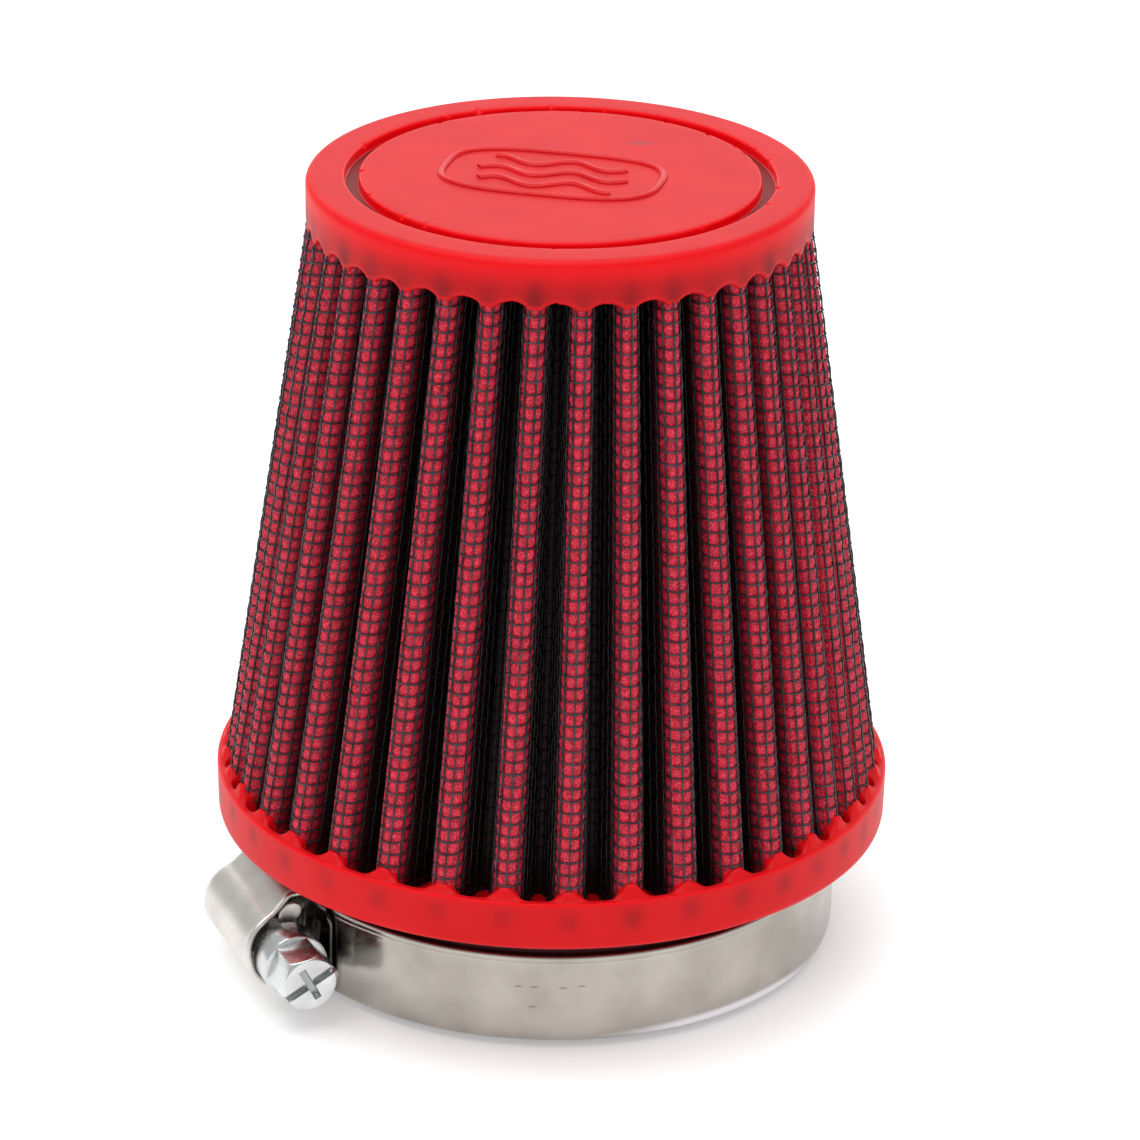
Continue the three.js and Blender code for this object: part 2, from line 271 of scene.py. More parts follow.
def mix_colors(tree, factor, first, second, blend="MIX"):
    """Two colours mixed. The factor and the colours are sockets or plain values."""
    node = tree.nodes.new("ShaderNodeMix")
    node.data_type = "RGBA"
    node.blend_type = blend
    colors = [s for s in node.inputs if s.type == "RGBA"]
    for target, value in zip((node.inputs["Factor"], *colors), (factor, first, second)):
        if isinstance(value, tuple):
            target.default_value = (*value, 1)
        elif isinstance(value, float):
            target.default_value = value
        else:
            tree.links.new(value, target)
    return [s for s in node.outputs if s.type == "RGBA"][0]


def round_spot(tree, centre, radii):
    """1 at a point given in millimetres, fading to 0 at the radii round it."""
    scale = [1 / (radius * MM) for radius in radii]
    shift = [-c * MM * k for c, k in zip(centre, scale)]
    spot = add_node(tree, "TexGradient", Vector=object_place(tree, scale, shift))
    spot.gradient_type = "SPHERICAL"
    return spot.outputs["Fac"]


def attribute_value(tree, name):
    node = tree.nodes.new("ShaderNodeAttribute")
    node.attribute_name = name
    return node.outputs["Fac"]


def add_bump(tree, shader, height, distance_mm, strength=1.0, after=None):
    """Raises the surface by a height's value, on top of an earlier bump if there is one."""
    node = add_node(tree, "Bump", Strength=strength, Distance=distance_mm * MM, Height=height)
    if after is not None:
        set_sockets(node, Normal=after)
    set_sockets(shader, Normal=node.outputs["Normal"])
    return node.outputs["Normal"]


def paint_over(material, amount, color):
    """Blends a colour over a material's own, as far as the amount says at each place."""
    tree = material.node_tree
    base = tree.nodes["Principled BSDF"].inputs["Base Color"]
    tree.links.new(mix_colors(tree, amount, base.links[0].from_socket, color), base)


def paint_spot(material, centre, radii, reach, amount, color):
    """Blends a colour over a soft round spot, by the full amount where the spot passes reach."""
    tree = material.node_tree
    spot = round_spot(tree, centre, radii)
    paint_over(material, ramp(tree, spot, [(0.0, (0, 0, 0)), (reach, (amount,) * 3)]), color)


def moulded_rubber():
    """Satin red polyurethane. Each point says how dark it is painted, for smudges where potted
    folds show through and for painted shade; how much darker its groove floor is; how wet it is;
    and how much painted light brightens its red."""
    material, tree, shader = node_material("red polyurethane")
    cloud = ramp(tree, object_noise(tree, 140, 4.0), [
        (0.3, (0.58, 0.004, 0.007)),
        (0.7, (0.65, 0.007, 0.011)),
    ])
    # painted light: a brighter, purer red
    painted_light = mix_colors(tree, attribute_value(tree, "painted_light"), cloud, (0.92, 0.004, 0.009))
    # smudges where potted folds show through, and painted shade, mixed towards near black
    shade = attribute_value(tree, "smudge_and_painted_shade")
    shaded = mix_colors(tree, shade, painted_light, (0.045, 0.005, 0.008))
    # a darker red on the groove's floor
    groove_floor_darkening = attribute_value(tree, "groove_floor_darkening")
    groove_floor_darkened = mix_colors(tree, groove_floor_darkening, shaded, (0.13, 0.008, 0.008))
    rough = number_ramp(tree, attribute_value(tree, "wet"), 0.46, 0.16, 0.0, 1.0)
    set_sockets(shader, Base_Color=groove_floor_darkened, Roughness=rough, IOR=1.25)
    set_sockets(
        shader, Subsurface_Weight=0.35, Subsurface_Scale=0.0013, Subsurface_Radius=(1.0, 0.10, 0.08))
    # a small grey scuff on the cap
    paint_spot(material, (9.9, 12.5, TOP), (2.2, 1.3, 1.0), 0.9, 0.5, (0.12, 0.06, 0.07))
    skin = add_bump(tree, shader, object_noise(tree, 2600, 2.0), 0.02, 0.5)
    add_bump(tree, shader, object_noise(tree, 420, 2.0), 0.05, 0.35, after=skin)
    return material


def oiled_cotton():
    """Red oiled gauze: fine threads, small dark specks, painted shade almost black in the folds."""
    material, tree, shader = node_material("red oiled gauze")
    threads = object_noise(tree, 5200, 2.0, 0.6)
    color = ramp(tree, threads, [
        (0.30, (0.26, 0.002, 0.012)),
        (0.48, (0.70, 0.014, 0.044)),
        (0.70, (0.97, 0.100, 0.155)),
    ])
    blotches = ramp(tree, object_noise(tree, 900, 2.0), [
        (0.28, (0.62, 0.55, 0.58)),
        (0.55, (1.0, 1.0, 1.0)),
    ])
    surface = mix_colors(tree, 1.0, color, blotches, "MULTIPLY")
    gap = number_ramp(tree, thread_gaps(tree, 1500), 0.75, 0.0, 0.06, 0.22)
    surface = mix_colors(tree, gap, surface, (0.09, 0.001, 0.004))
    depth = attribute_value(tree, "depth")
    # painted shade, almost black down in the folds
    dark = mix_colors(tree, depth, surface, (0.014, 0.002, 0.003))
    set_sockets(shader, Base_Color=dark, Roughness=0.5, IOR=1.32)
    add_bump(tree, shader, threads, 0.05, 0.8)
    return material


def screen_wire():
    """Dark coated wire with worn, lighter stretches, and painted shade blacker in the folds."""
    material, tree, shader = node_material("screen wire")
    worn = ramp(tree, object_noise(tree, 700, 2.0), [
        (0.35, (0.016, 0.012, 0.017)),
        (0.65, (0.062, 0.052, 0.066)),
    ])
    depth = attribute_value(tree, "depth")
    # painted shade, blacker down in the folds
    color = mix_colors(tree, depth, worn, (0.011, 0.009, 0.010))
    rough = number_ramp(tree, object_noise(tree, 1500), 0.35, 0.6)
    set_sockets(shader, Base_Color=color, Roughness=rough, IOR=1.38)
    return material


def steel(name, dark, light, rough_low, rough_high, cloud_scale, stretch, brushed_mm):
    """Stainless or plated steel, with cloudy tone and a fine brushed grain."""
    material, tree, shader = node_material(name)
    tone = ramp(tree, object_noise(tree, cloud_scale, 3.0), [(0.3, dark), (0.7, light)])
    grain = object_noise(tree, 900, 3.0, 0.6, stretch)
    rough = number_ramp(tree, grain, rough_low, rough_high)
    set_sockets(shader, Base_Color=tone, Roughness=rough, Metallic=1.0)
    add_bump(tree, shader, grain, brushed_mm, 0.4)
    return material


def mark_band(material):
    """Short plain dashes stamped on the band's front, and a painted highlight along its lower edge.
    """
    for across, up in ((-3.7, 1.7), (-1.7, 1.7), (1.9, 1.6), (4.2, 1.8), (-1.9, -1.1)):
        place = (across, -BAND_OUTSIDE, CLAMP_HEIGHT + up)
        paint_spot(material, place, (0.7, 3.0, 0.2), 0.6, 0.5, (0.13, 0.09, 0.07))
    # painted highlight: near white along the band's lower edge
    edge = (25.0, -28.0, BAND_BOTTOM + 0.5)
    paint_spot(material, edge, (22.0, 18.0, 1.1), 0.5, 0.9, (0.95, 0.96, 1.0))


def add_joint_shade(material):
    """Painted shade, near black, where the saddle, the strip's free end and the loop of band meet."""
    joint = math.radians(CLAMP_ANGLE + 18.3)
    place = (BAND_OUTSIDE * math.cos(joint), BAND_OUTSIDE * math.sin(joint), CLAMP_HEIGHT)
    paint_spot(material, place, (2.7, 2.7, 9.0), 0.6, 0.9, (0.02, 0.018, 0.018))


def add_slot_darkening(material):
    """A darker grey on the floors of the slots in the screw's head."""
    paint_over(material, attribute_value(material.node_tree, "slot_darkening"), (0.38, 0.40, 0.40))


def inner_screen():
    """The inner wire screen on its plain CAD sheet: rows of dark wire over red gauze."""
    material, tree, shader = node_material("inner wire screen")
    split = add_node(tree, "SeparateXYZ", Vector=object_place(tree))
    wave = add_node(tree, "Math")
    wave.operation = "PINGPONG"
    row_spacing = 1.6 * MM
    tree.links.new(split.outputs["Z"], wave.inputs[0])
    wave.inputs[1].default_value = row_spacing / 2
    rows = number_ramp(tree, wave.outputs["Value"], 1.0, 0.0, 0.12 * MM, 0.2 * MM)
    wires = ramp(tree, rows, [(0.0, (0.30, 0.012, 0.030)), (1.0, (0.10, 0.09, 0.10))])
    set_sockets(shader, Base_Color=wires, Roughness=0.6)
    add_bump(tree, shader, rows, 0.15, 1.0)
    return material


RED_RUBBER = moulded_rubber()
RED_GAUZE = oiled_cotton()
WIRE = screen_wire()
BAND_STEEL = steel(
    "polished band steel", (0.35, 0.325, 0.29), (0.50, 0.47, 0.43), 0.12, 0.26, 110, (1, 1, 9), 0.004
)
mark_band(BAND_STEEL)
add_joint_shade(BAND_STEEL)
STAMPED_STEEL = steel(
    "satin stamped steel", (0.62, 0.60, 0.565), (0.77, 0.745, 0.70), 0.32, 0.46, 160, (1, 1, 1), 0.012
)
add_joint_shade(STAMPED_STEEL)
ZINC_STEEL = steel(
    "bright zinc plate", (0.56, 0.58, 0.58), (0.72, 0.74, 0.74), 0.20, 0.30, 250, (1, 1, 1), 0.003
)
add_slot_darkening(ZINC_STEEL)
INNER_SCREEN = inner_screen()


# ---- camera, light and floor, in metres
def make_camera():
    """The camera. Its angles are in radians."""
    place = (0, -0.58076, 0.30367)
    pitch = 0.4128
    yaw = -0.0034
    roll = 0.0168
    data = bpy.data.cameras.new("camera")
    data.lens = 156.74
    data.sensor_width = 36
    data.clip_start = 0.01
    camera = add_object("camera", data)
    tilted = Matrix.Rotation(math.pi / 2 - pitch, 4, "X") @ Matrix.Rotation(roll, 4, "Z")
    camera.matrix_world = Matrix.Translation(place) @ Matrix.Rotation(yaw, 4, "Z") @ tilted
    bpy.context.scene.camera = camera


def make_light(name, place, target, size, watts):
    data = bpy.data.lights.new(name, "AREA")
    data.shape = "RECTANGLE"
    data.size, data.size_y = size
    data.energy = watts
    light = add_object(name, data)
    light.location = place
    light.rotation_euler = (Vector(target) - Vector(place)).to_track_quat("-Z", "Y").to_euler()


def make_stage():
    world = bpy.data.worlds.new("studio")
    world.use_nodes = True
    set_sockets(world.node_tree.nodes["Background"], Color=(1, 1, 1, 1), Strength=0.58)
    bpy.context.scene.world = world
    bpy.context.scene.view_settings.view_transform = "Standard"
    half = 3.0
    mesh = bpy.data.meshes.new("floor")
    mesh.from_pydata(
        [(-half, -half, 0), (half, -half, 0), (half, half, 0), (-half, half, 0)], [], [(0, 1, 2, 3)]
    )
    material, tree, shader = node_material("white paper")
    set_sockets(shader, Base_Color=(0.80, 0.80, 0.80, 1), Roughness=0.9)
    set_sockets(shader, Emission_Color=(1, 1, 1, 1), Emission_Strength=0.36)
    mesh.materials.append(material)
    floor = add_object("floor", mesh)
    make_light("overhead softbox", (-0.1, -0.05, 1.2), (0, 0, 0.05), (1.3, 1.3), 12.5)
    make_light("back softbox", (0, 1.3, 0.62), (0, 0, 0.08), (1.6, 0.8), 3.5)


# ---- folded media
def fold_angle(fold, level):
    """Angle of a fold's tip. level is 0 at the flange and 1 at the cap."""
    def drifted(first, drift, phase):
        even = first + fold * 360 / FOLDS
        return even + drift * math.cos(math.radians(2 * (even - phase)))

    low = drifted(FIRST_FOLD_AT_FLANGE, DRIFT_AT_FLANGE, DRIFT_PHASE_AT_FLANGE)
    high = drifted(FIRST_FOLD_AT_CAP, DRIFT_AT_CAP, DRIFT_PHASE_AT_CAP)
    return low + (high - low) * level


def level_at(height):
    return (height - FLANGE_TOP) / (SKIRT_BOTTOM - FLANGE_TOP)


def cone_radius(height):
    return CONE_AT_FLANGE + (CONE_AT_CAP - CONE_AT_FLANGE) * level_at(height)


def media_section(height, stations):
    """Points, outward normals and depths of the folded media at one height. stations count
    folds: 2.25 is a quarter of the way round the third fold, by length of cloth."""
    level = level_at(height)
    tip_radius = cone_radius(height)
    lobe = LOBE_AT_FLANGE + (LOBE_AT_CAP - LOBE_AT_FLANGE) * level
    nose = 1.15 * lobe
    tip_turn = np.linspace(-math.pi / 2, math.pi / 2, 17)
    valley_turn = np.linspace(0, math.pi, 7)[1:-1]
    tip_depth = nose * (1 - np.cos(tip_turn))
    valley_depth = FOLD_DEPTH - VALLEY_HALF_WIDTH * (1 - np.sin(valley_turn))
    depths = np.concatenate([tip_depth, valley_depth])
    radii = tip_radius - depths
    valley_sideways = -VALLEY_HALF_WIDTH * np.cos(valley_turn)
    sideways = np.concatenate([lobe * np.sin(tip_turn), valley_sideways])
    x, y = [], []
    for fold in range(FOLDS + 1):
        tip = fold_angle(fold, level)
        valley = (tip + fold_angle(fold + 1, level)) / 2
        centres = np.radians([tip] * len(tip_turn) + [valley] * len(valley_turn))
        angles = centres + sideways / radii
        x.append(radii * np.cos(angles))
        y.append(radii * np.sin(angles))
    # the first point of one more fold closes the loop
    used = FOLDS * len(depths) + 1
    joined_x = np.concatenate(x)[:used]
    joined_y = np.concatenate(y)[:used]
    joined_depth = np.tile(depths, FOLDS + 1)[:used]
    steps = np.hypot(np.diff(joined_x), np.diff(joined_y))
    length = np.concatenate([[0], np.cumsum(steps)])
    joined_station = np.interp(length, length[::len(depths)], np.arange(FOLDS + 1))

    def value_at(values, places):
        return np.interp(np.mod(places, FOLDS), joined_station, values)

    nudge = 0.012
    tangent_x = value_at(joined_x, stations + nudge) - value_at(joined_x, stations - nudge)
    tangent_y = value_at(joined_y, stations + nudge) - value_at(joined_y, stations - nudge)
    size = np.hypot(tangent_x, tangent_y)
    normal = np.stack([tangent_y / size, -tangent_x / size, np.zeros_like(size)], axis=-1)
    points = np.stack([
        value_at(joined_x, stations),
        value_at(joined_y, stations),
        np.full_like(size, height),
    ], axis=-1)
    return points, normal, value_at(joined_depth, stations)


def media_surface(heights, stations):
    """Grids of points, normals and depths: one row for each height."""
    rows = [media_section(height, stations) for height in heights]
    return tuple(np.stack(parts) for parts in zip(*rows))


def fold_shade(depth):
    """How dark the painted shade is at a place down in a fold, from 0 at the tip to 1."""
    return smoothstep(0.6, 3.6, depth)


MEDIA_BOTTOM = FLANGE_TOP - 3.2
MEDIA_TOP = SKIRT_BOTTOM + 2.1


def make_gauze():
    """The outer ply of cotton, pressed out a little through each square of the screen."""
    rows = 2 * WIRE_ROWS + 1
    columns = 2 * WIRES_ROUND
    heights = np.linspace(MEDIA_BOTTOM, MEDIA_TOP, rows)
    stations = np.arange(columns) * FOLDS / columns
    points, normals, depth = media_surface(heights, stations)
    between_rows = np.arange(rows) % 2 == 1
    between_wires = np.arange(columns) % 2 == 1
    puff = 0.5 * between_rows[:, None] + 0.5 * between_wires[None, :]
    lift = np.where(puff == 1, 0.02, np.where(puff > 0, -0.17, -0.30))
    random = np.random.default_rng(7)
    lift = lift + random.normal(0, 0.02, lift.shape)
    points = points + normals * (lift - WIRE_RADIUS)[..., None]
    piece = finish_mesh(
        "outer_gauze", points.reshape(-1, 3), grid_faces(rows, columns, wrap_columns=True),
        RED_GAUZE, "filter",
    )
    set_attribute(piece, "depth", fold_shade(depth))
    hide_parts("gauze_layer_1")


def tubes(lines, normals, sides, closed):
    """Points and faces of many wires at once. lines is wires by points by 3."""
    wires, count = lines.shape[:2]
    if closed:
        along = np.roll(lines, -1, axis=1) - np.roll(lines, 1, axis=1)
    else:
        along = np.gradient(lines, axis=1)
    along = unit(along)
    across = unit(np.cross(along, normals))
    out = np.cross(across, along)
    rings = []
    for side in range(sides):
        turn = 2 * math.pi * (side + 0.5) / sides
        rings.append(lines + WIRE_RADIUS * (math.cos(turn) * out + math.sin(turn) * across))
    points = np.stack(rings, axis=2).reshape(-1, 3)
    faces = []
    for wire in range(wires):
        first = wire * count * sides
        faces += grid_faces(count, sides, wrap_rows=closed, wrap_columns=True, first=first)
        if not closed:
            last = first + (count - 1) * sides
            faces.append([first + side for side in range(sides)])
            faces.append([last + side for side in reversed(range(sides))])
    return points, faces


def add_wires(name, lines, normals, depth, closed):
    """One piece of many wires, with painted shade where they lie deep in a fold."""
    sides = 4
    points, faces = tubes(lines, normals, sides, closed)
    piece = finish_mesh(name, points, faces, WIRE, "filter")
    set_attribute(piece, "depth", np.repeat(fold_shade(depth).ravel(), sides))
    return piece


def halves(count):
    """Two slices that share out a count, to keep each piece's mesh small."""
    return slice(0, count // 2), slice(count // 2, count)


def make_screen():
    """The woven outer screen: upright wires and cross wires, over and under each other."""
    weave = 0.5 * WIRE_RADIUS
    heights = np.linspace(MEDIA_BOTTOM, MEDIA_TOP, WIRE_ROWS + 1)
    stations = np.arange(WIRES_ROUND) * FOLDS / WIRES_ROUND
    points, normals, depth = media_surface(heights, stations)
    over = np.where(np.add.outer(np.arange(WIRE_ROWS + 1), np.arange(WIRES_ROUND)) % 2, 1, -1)
    upright = points + normals * (weave * over - WIRE_RADIUS)[..., None]
    for part, chosen in enumerate(halves(WIRES_ROUND)):
        lines = upright[:, chosen].transpose(1, 0, 2)
        outward = normals[:, chosen].transpose(1, 0, 2)
        shade = depth[:, chosen].T
        piece = add_wires(f"upright_wires_{part + 1}", lines, outward, shade, closed=False)
        if part == 0:
            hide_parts("outer_mesh")
    cross_stations = np.arange(2 * WIRES_ROUND) * FOLDS / (2 * WIRES_ROUND)
    points, normals, depth = media_surface(heights[1:-1], cross_stations)
    under = np.zeros((WIRE_ROWS - 1, 2 * WIRES_ROUND))
    under[:, ::2] = -over[1:-1]
    cross = points + normals * (weave * under - WIRE_RADIUS)[..., None]
    for part, chosen in enumerate(halves(WIRE_ROWS - 1)):
        lines = cross[chosen]
        add_wires(f"cross_wires_{part + 1}", lines, normals[chosen], depth[chosen], closed=True)


# ---- moulded ends
COLUMNS_PER_FOLD = 26


def fold_places(level):
    """For each column of a moulded end: its angle, how far it is round its fold from -0.5 to
    0.5 with 0 at the tip, and the width of the fold in degrees."""
    angle, place, width = [], [], []
    for fold in range(FOLDS):
        before = (fold_angle(fold - 1, level) + fold_angle(fold, level)) / 2
        after = (fold_angle(fold, level) + fold_angle(fold + 1, level)) / 2
        tip = fold_angle(fold, level)
        share = np.arange(COLUMNS_PER_FOLD) / COLUMNS_PER_FOLD
        here = before + (after - before) * share
        angle.append(here)
        side = np.where(here < tip, tip - before, after - tip)
        place.append(0.5 * (here - tip) / side)
        width.append(np.full(COLUMNS_PER_FOLD, after - before))
    return tuple(np.concatenate(part) for part in (angle, place, width))


class Moulding:
    """A moulded end, built as rings of points one after another along its outline. level is
    0 at the flange and 1 at the cap."""

    def __init__(self, level, rim_radius):
        self.angle, place, width = fold_places(level)
        self.columns = len(self.angle)
        self.place = place
        # how far each column is from its fold's tip, along the rim
        self.sideways = np.radians(place * width) * rim_radius
        self.rings = []

    # bright is how much painted light brightens the red; shade is how dark the smudges and painted
    # shade are
    def add(self, radius, height, shade=0.0, gloss=0.0, groove_floor_darkening=0.0, bright=0.0):
        """One ring. Each value is one number, or one for each column."""
        ring = (radius, height, shade, gloss, groove_floor_darkening, bright)
        self.rings.append([np.broadcast_to(value, (self.columns,)) for value in ring])

    def finish(self, name, node, closed):
        """The piece: a closed loop of rings, or one with a flat face at each end."""
        radii, heights, shade, gloss, groove_floor_darkening, bright = np.array(self.rings).transpose(1, 0, 2)
        turn = np.radians(self.angle)[None, :]
        points = np.stack([radii * np.cos(turn), radii * np.sin(turn), heights], axis=-1)
        faces = grid_faces(len(radii), self.columns, wrap_rows=closed, wrap_columns=True)
        if not closed:
            last = (len(radii) - 1) * self.columns
            faces.append([last + column for column in range(self.columns)])
            faces.append(list(reversed(range(self.columns))))
        piece = finish_mesh(
            name, points.reshape(-1, 3), faces, RED_RUBBER, "filter")
        for attribute, values in (
            ("smudge_and_painted_shade", shade), ("wet", gloss), ("groove_floor_darkening", groove_floor_darkening), ("painted_light", bright),
        ):
            set_attribute(piece, attribute, values)
        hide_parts(node)


def make_flange():
    """The base ring and neck. The rubber is drawn up each fold's tip and dips between them."""
    ring = Moulding(0.0, CONE_AT_FLANGE)
    add = ring.add
    sideways = ring.sideways
    random = np.random.default_rng(3)
    jitter = np.repeat(random.uniform(-0.5, 0.5, FOLDS), COLUMNS_PER_FOLD)
    strength = np.repeat(random.uniform(0.55, 1.0, FOLDS), COLUMNS_PER_FOLD)
    climb = np.repeat(random.uniform(0.9, 1.9, FOLDS), COLUMNS_PER_FOLD)

    def smudge(height):
        spot = (sideways / 1.35) ** 2 + ((height - FLANGE_BOTTOM - 4.1 - 0.5 * jitter) / 1.5) ** 2
        return 0.40 * strength * np.exp(-spot)

    # the bore and the neck's end, with painted shade: the neck's end and the neck above the band are
    # painted near black
    add(BORE_RADIUS, FLANGE_TOP - 0.6)
    for height in np.linspace(FLANGE_TOP - 2, 0.6, 6):
        add(BORE_RADIUS, height)
    add(BORE_RADIUS + 0.12, 0.15)
    add(BORE_RADIUS + 0.45, NECK_BOTTOM)
    add(33.9, NECK_BOTTOM, 1.0)
    add(34.3, 0.1, 1.0)
    add(35.7, 1.0, 1.0)
    add(NECK_RADIUS - 0.1, 1.3, 1.0)
    for height in np.linspace(2, FLANGE_BOTTOM - 0.7, 9):
        add(NECK_RADIUS, height, 1.0 * (height > BAND_TOP - 2))
    add(NECK_RADIUS + 0.15, FLANGE_BOTTOM - 0.3, 1.0)
    add(NECK_RADIUS + 0.6, FLANGE_BOTTOM, 0.7)
    add(NECK_RADIUS + 1.4, FLANGE_BOTTOM, 0.45)
    # the ring's underside, darker red with painted shade, and outer wall, brighter with painted light
    add(FLANGE_RADIUS - 1.2, FLANGE_BOTTOM, 0.45)
    add(FLANGE_RADIUS - 0.45, FLANGE_BOTTOM + 0.03, 0.3)
    add(FLANGE_RADIUS - 0.20, FLANGE_BOTTOM + 0.22, bright=0.2)
    for height in np.linspace(FLANGE_BOTTOM + 0.6, FLANGE_TOP - 0.5, 14):
        share = (height - FLANGE_BOTTOM) / (FLANGE_TOP - FLANGE_BOTTOM)
        add(FLANGE_RADIUS - 0.12 * (1 - share), height, smudge(height), bright=0.26)
    # the crest: a fine raised line where the mould parts, with a painted highlight along it
    add(FLANGE_RADIUS - 0.02, FLANGE_TOP - 0.28, gloss=0.3, bright=0.5)
    add(FLANGE_RADIUS - 0.08, FLANGE_TOP - 0.10, gloss=0.6, bright=0.7)
    add(FLANGE_RADIUS - 0.20, FLANGE_TOP - 0.02, gloss=0.6, bright=0.7)
    add(FLANGE_RADIUS - 0.34, FLANGE_TOP - 0.06, gloss=0.3, bright=0.6)
    # the top, from the crest in to the folds, its red brightened by painted light, most in the
    # pockets
    for radius in np.concatenate([
        np.linspace(FLANGE_RADIUS - 0.45, FLANGE_RADIUS - 3.2, 22),
        np.linspace(FLANGE_RADIUS - 3.6, BORE_RADIUS + 0.8, 12),
    ]):
        inward = FLANGE_RADIUS - radius
        flank = np.clip((np.abs(sideways) - 0.55) / 2.75, 0, 1)
        peak = climb * (1 - flank) ** 2.3 * smoothstep(0.3, 1.2, inward)
        between = smoothstep(1.0, 2.3, np.abs(sideways))
        shore = 2.4 - 1.5 * between
        pocket = 2.8 * smoothstep(shore, shore + 1.3, inward) * between
        sunk = 0.6 * smoothstep(3.0, 4.5, inward) * (1 - between)
        height = FLANGE_TOP - 0.05 + peak - pocket - sunk
        gloss = 0.9 * smoothstep(1.2, 2.4, inward)
        add(radius, height, gloss=gloss, bright=0.35 + 0.65 * smoothstep(1.0, 2.0, inward))
    ring.finish("base_ring_and_neck", "base_flange", closed=True)


def make_cap():
    """The top cap: arches over the valleys, a turned groove and small nicks at its lip."""
    cap = Moulding(1.0, CAP_RADIUS)
    add = cap.add
    random = np.random.default_rng(11)
    strength = np.repeat(random.uniform(0.15, 0.5, FOLDS), COLUMNS_PER_FOLD)
    arch_height = np.repeat(random.uniform(0.9, 1.15, FOLDS), COLUMNS_PER_FOLD)
    from_valley = 1 - 2 * np.abs(cap.place)
    arch = np.clip(1 - (from_valley / 0.74) ** 2, 0, 1) ** 0.75 * arch_height
    lip = SKIRT_BOTTOM - 0.45 + arch

    # painted shade: the whole skirt darker towards its bottom, and a smudge over each fold's tip
    def smudge(height):
        spot = np.exp(-(cap.sideways / 1.25) ** 2)
        low = 1 - smoothstep(TOP - 4.8, TOP - 0.9, height)
        return low * (0.17 + strength * spot)

    # the underside, up among the folds, then the skirt's rounded lip and wall, with painted light at
    # its top and painted shade at its bottom
    under = SKIRT_BOTTOM + 1.9
    add(20.0, under)
    add(27.0, under)
    add(CAP_RADIUS - 1.6, np.maximum(under - 0.4, lip + 0.4))
    for turn in np.linspace(0.15, 1.0, 6) * math.pi / 2:
        outward = 0.75 * (0.98 * math.sin(turn) - 1)
        add(CAP_RADIUS + outward, lip + 0.6 * (1 - math.cos(turn)) - 0.02)
    for share in np.linspace(0.08, 1, 12):
        base = lip + 0.62
        height = base + (TOP - 1.0 - base) * share
        bright = 0.12 + 0.58 * smoothstep(0.25, 0.95, share)
        add(CAP_RADIUS - 0.015 * (1 - share), height, smudge(height), bright=bright)
    # painted light along the rounded top edge
    for turn in np.linspace(0.12, 1, 8) * math.pi / 2:
        round_radius = CAP_RADIUS - 1.0 * (1 - math.cos(turn))
        add(round_radius, TOP - 1.0 * (1 - math.sin(turn)), bright=0.7 * math.cos(turn))
    add(CAP_RADIUS - 1.6, TOP)
    add(CAP_RADIUS - 3.0, TOP)
    # the groove: soft lips with small nicks left by the mould, and a darker floor
    def nicks(count):
        cut = np.zeros(cap.columns)
        for centre in random.uniform(0, 360, count):
            away = (cap.angle - centre + 180) % 360 - 180
            cut += random.uniform(0.2, 0.6) * np.exp(-(away / random.uniform(0.4, 0.9)) ** 4)
        return np.minimum(cut, 0.7)

    outer_nick = nicks(11)
    inner_nick = nicks(13)
    add(GROOVE_OUTER + 0.45 + outer_nick, TOP)
    # painted light: the groove's lips and walls a brighter red
    lip_look = {"gloss": 0.4, "bright": 0.4}
    wall_look = {"gloss": 1.0, "bright": 1.0}
    add(GROOVE_OUTER + 0.12 + outer_nick, TOP - 0.04, **lip_look)
    add(GROOVE_OUTER + 0.02 + 0.8 * outer_nick, TOP - 0.16 - 0.3 * outer_nick, **wall_look)
    for share in (0.45, 0.8, 1.0):
        add(GROOVE_OUTER, TOP - share * GROOVE_DEPTH, **wall_look)
    add(GROOVE_OUTER - 0.2, TOP - GROOVE_DEPTH - 0.04, groove_floor_darkening=0.9)
    add(GROOVE_INNER + 0.2, TOP - GROOVE_DEPTH - 0.04, groove_floor_darkening=0.9)
    for share in (1.0, 0.8, 0.45):
        add(GROOVE_INNER, TOP - share * GROOVE_DEPTH, **wall_look)
    add(GROOVE_INNER - 0.02 - 0.8 * inner_nick, TOP - 0.16 - 0.3 * inner_nick, **wall_look)
    add(GROOVE_INNER - 0.12 - inner_nick, TOP - 0.04, **lip_look)
    add(GROOVE_INNER - 0.45 - inner_nick, TOP)
    for radius in (23.6, 21.0, 17.0, 12.0, 7.0, 3.0):
        add(radius, TOP)
    cap.finish("top_cap_moulding", "top_cap", closed=False)


def relief_line(route, closed, width, height):
    """Points and faces of a low rounded ridge along a route."""
    curve = bpy.data.curves.new("ridge", "CURVE")
    curve.dimensions = "3D"
    spline = curve.splines.new("POLY")
    spline.points.add(len(route) - 1)
    for point, (x, y) in zip(spline.points, route):
        point.co = (x * MM, y * MM, 0, 1)
    spline.use_cyclic_u = closed
    curve.bevel_depth = width / 2 * MM
    curve.bevel_resolution = 4
    curve.use_fill_caps = True
    ridge = add_object("ridge", curve)
    points, faces = evaluated_points(ridge)
    bpy.data.objects.remove(ridge)
    return points * (1, 1, 2 * height / width), faces


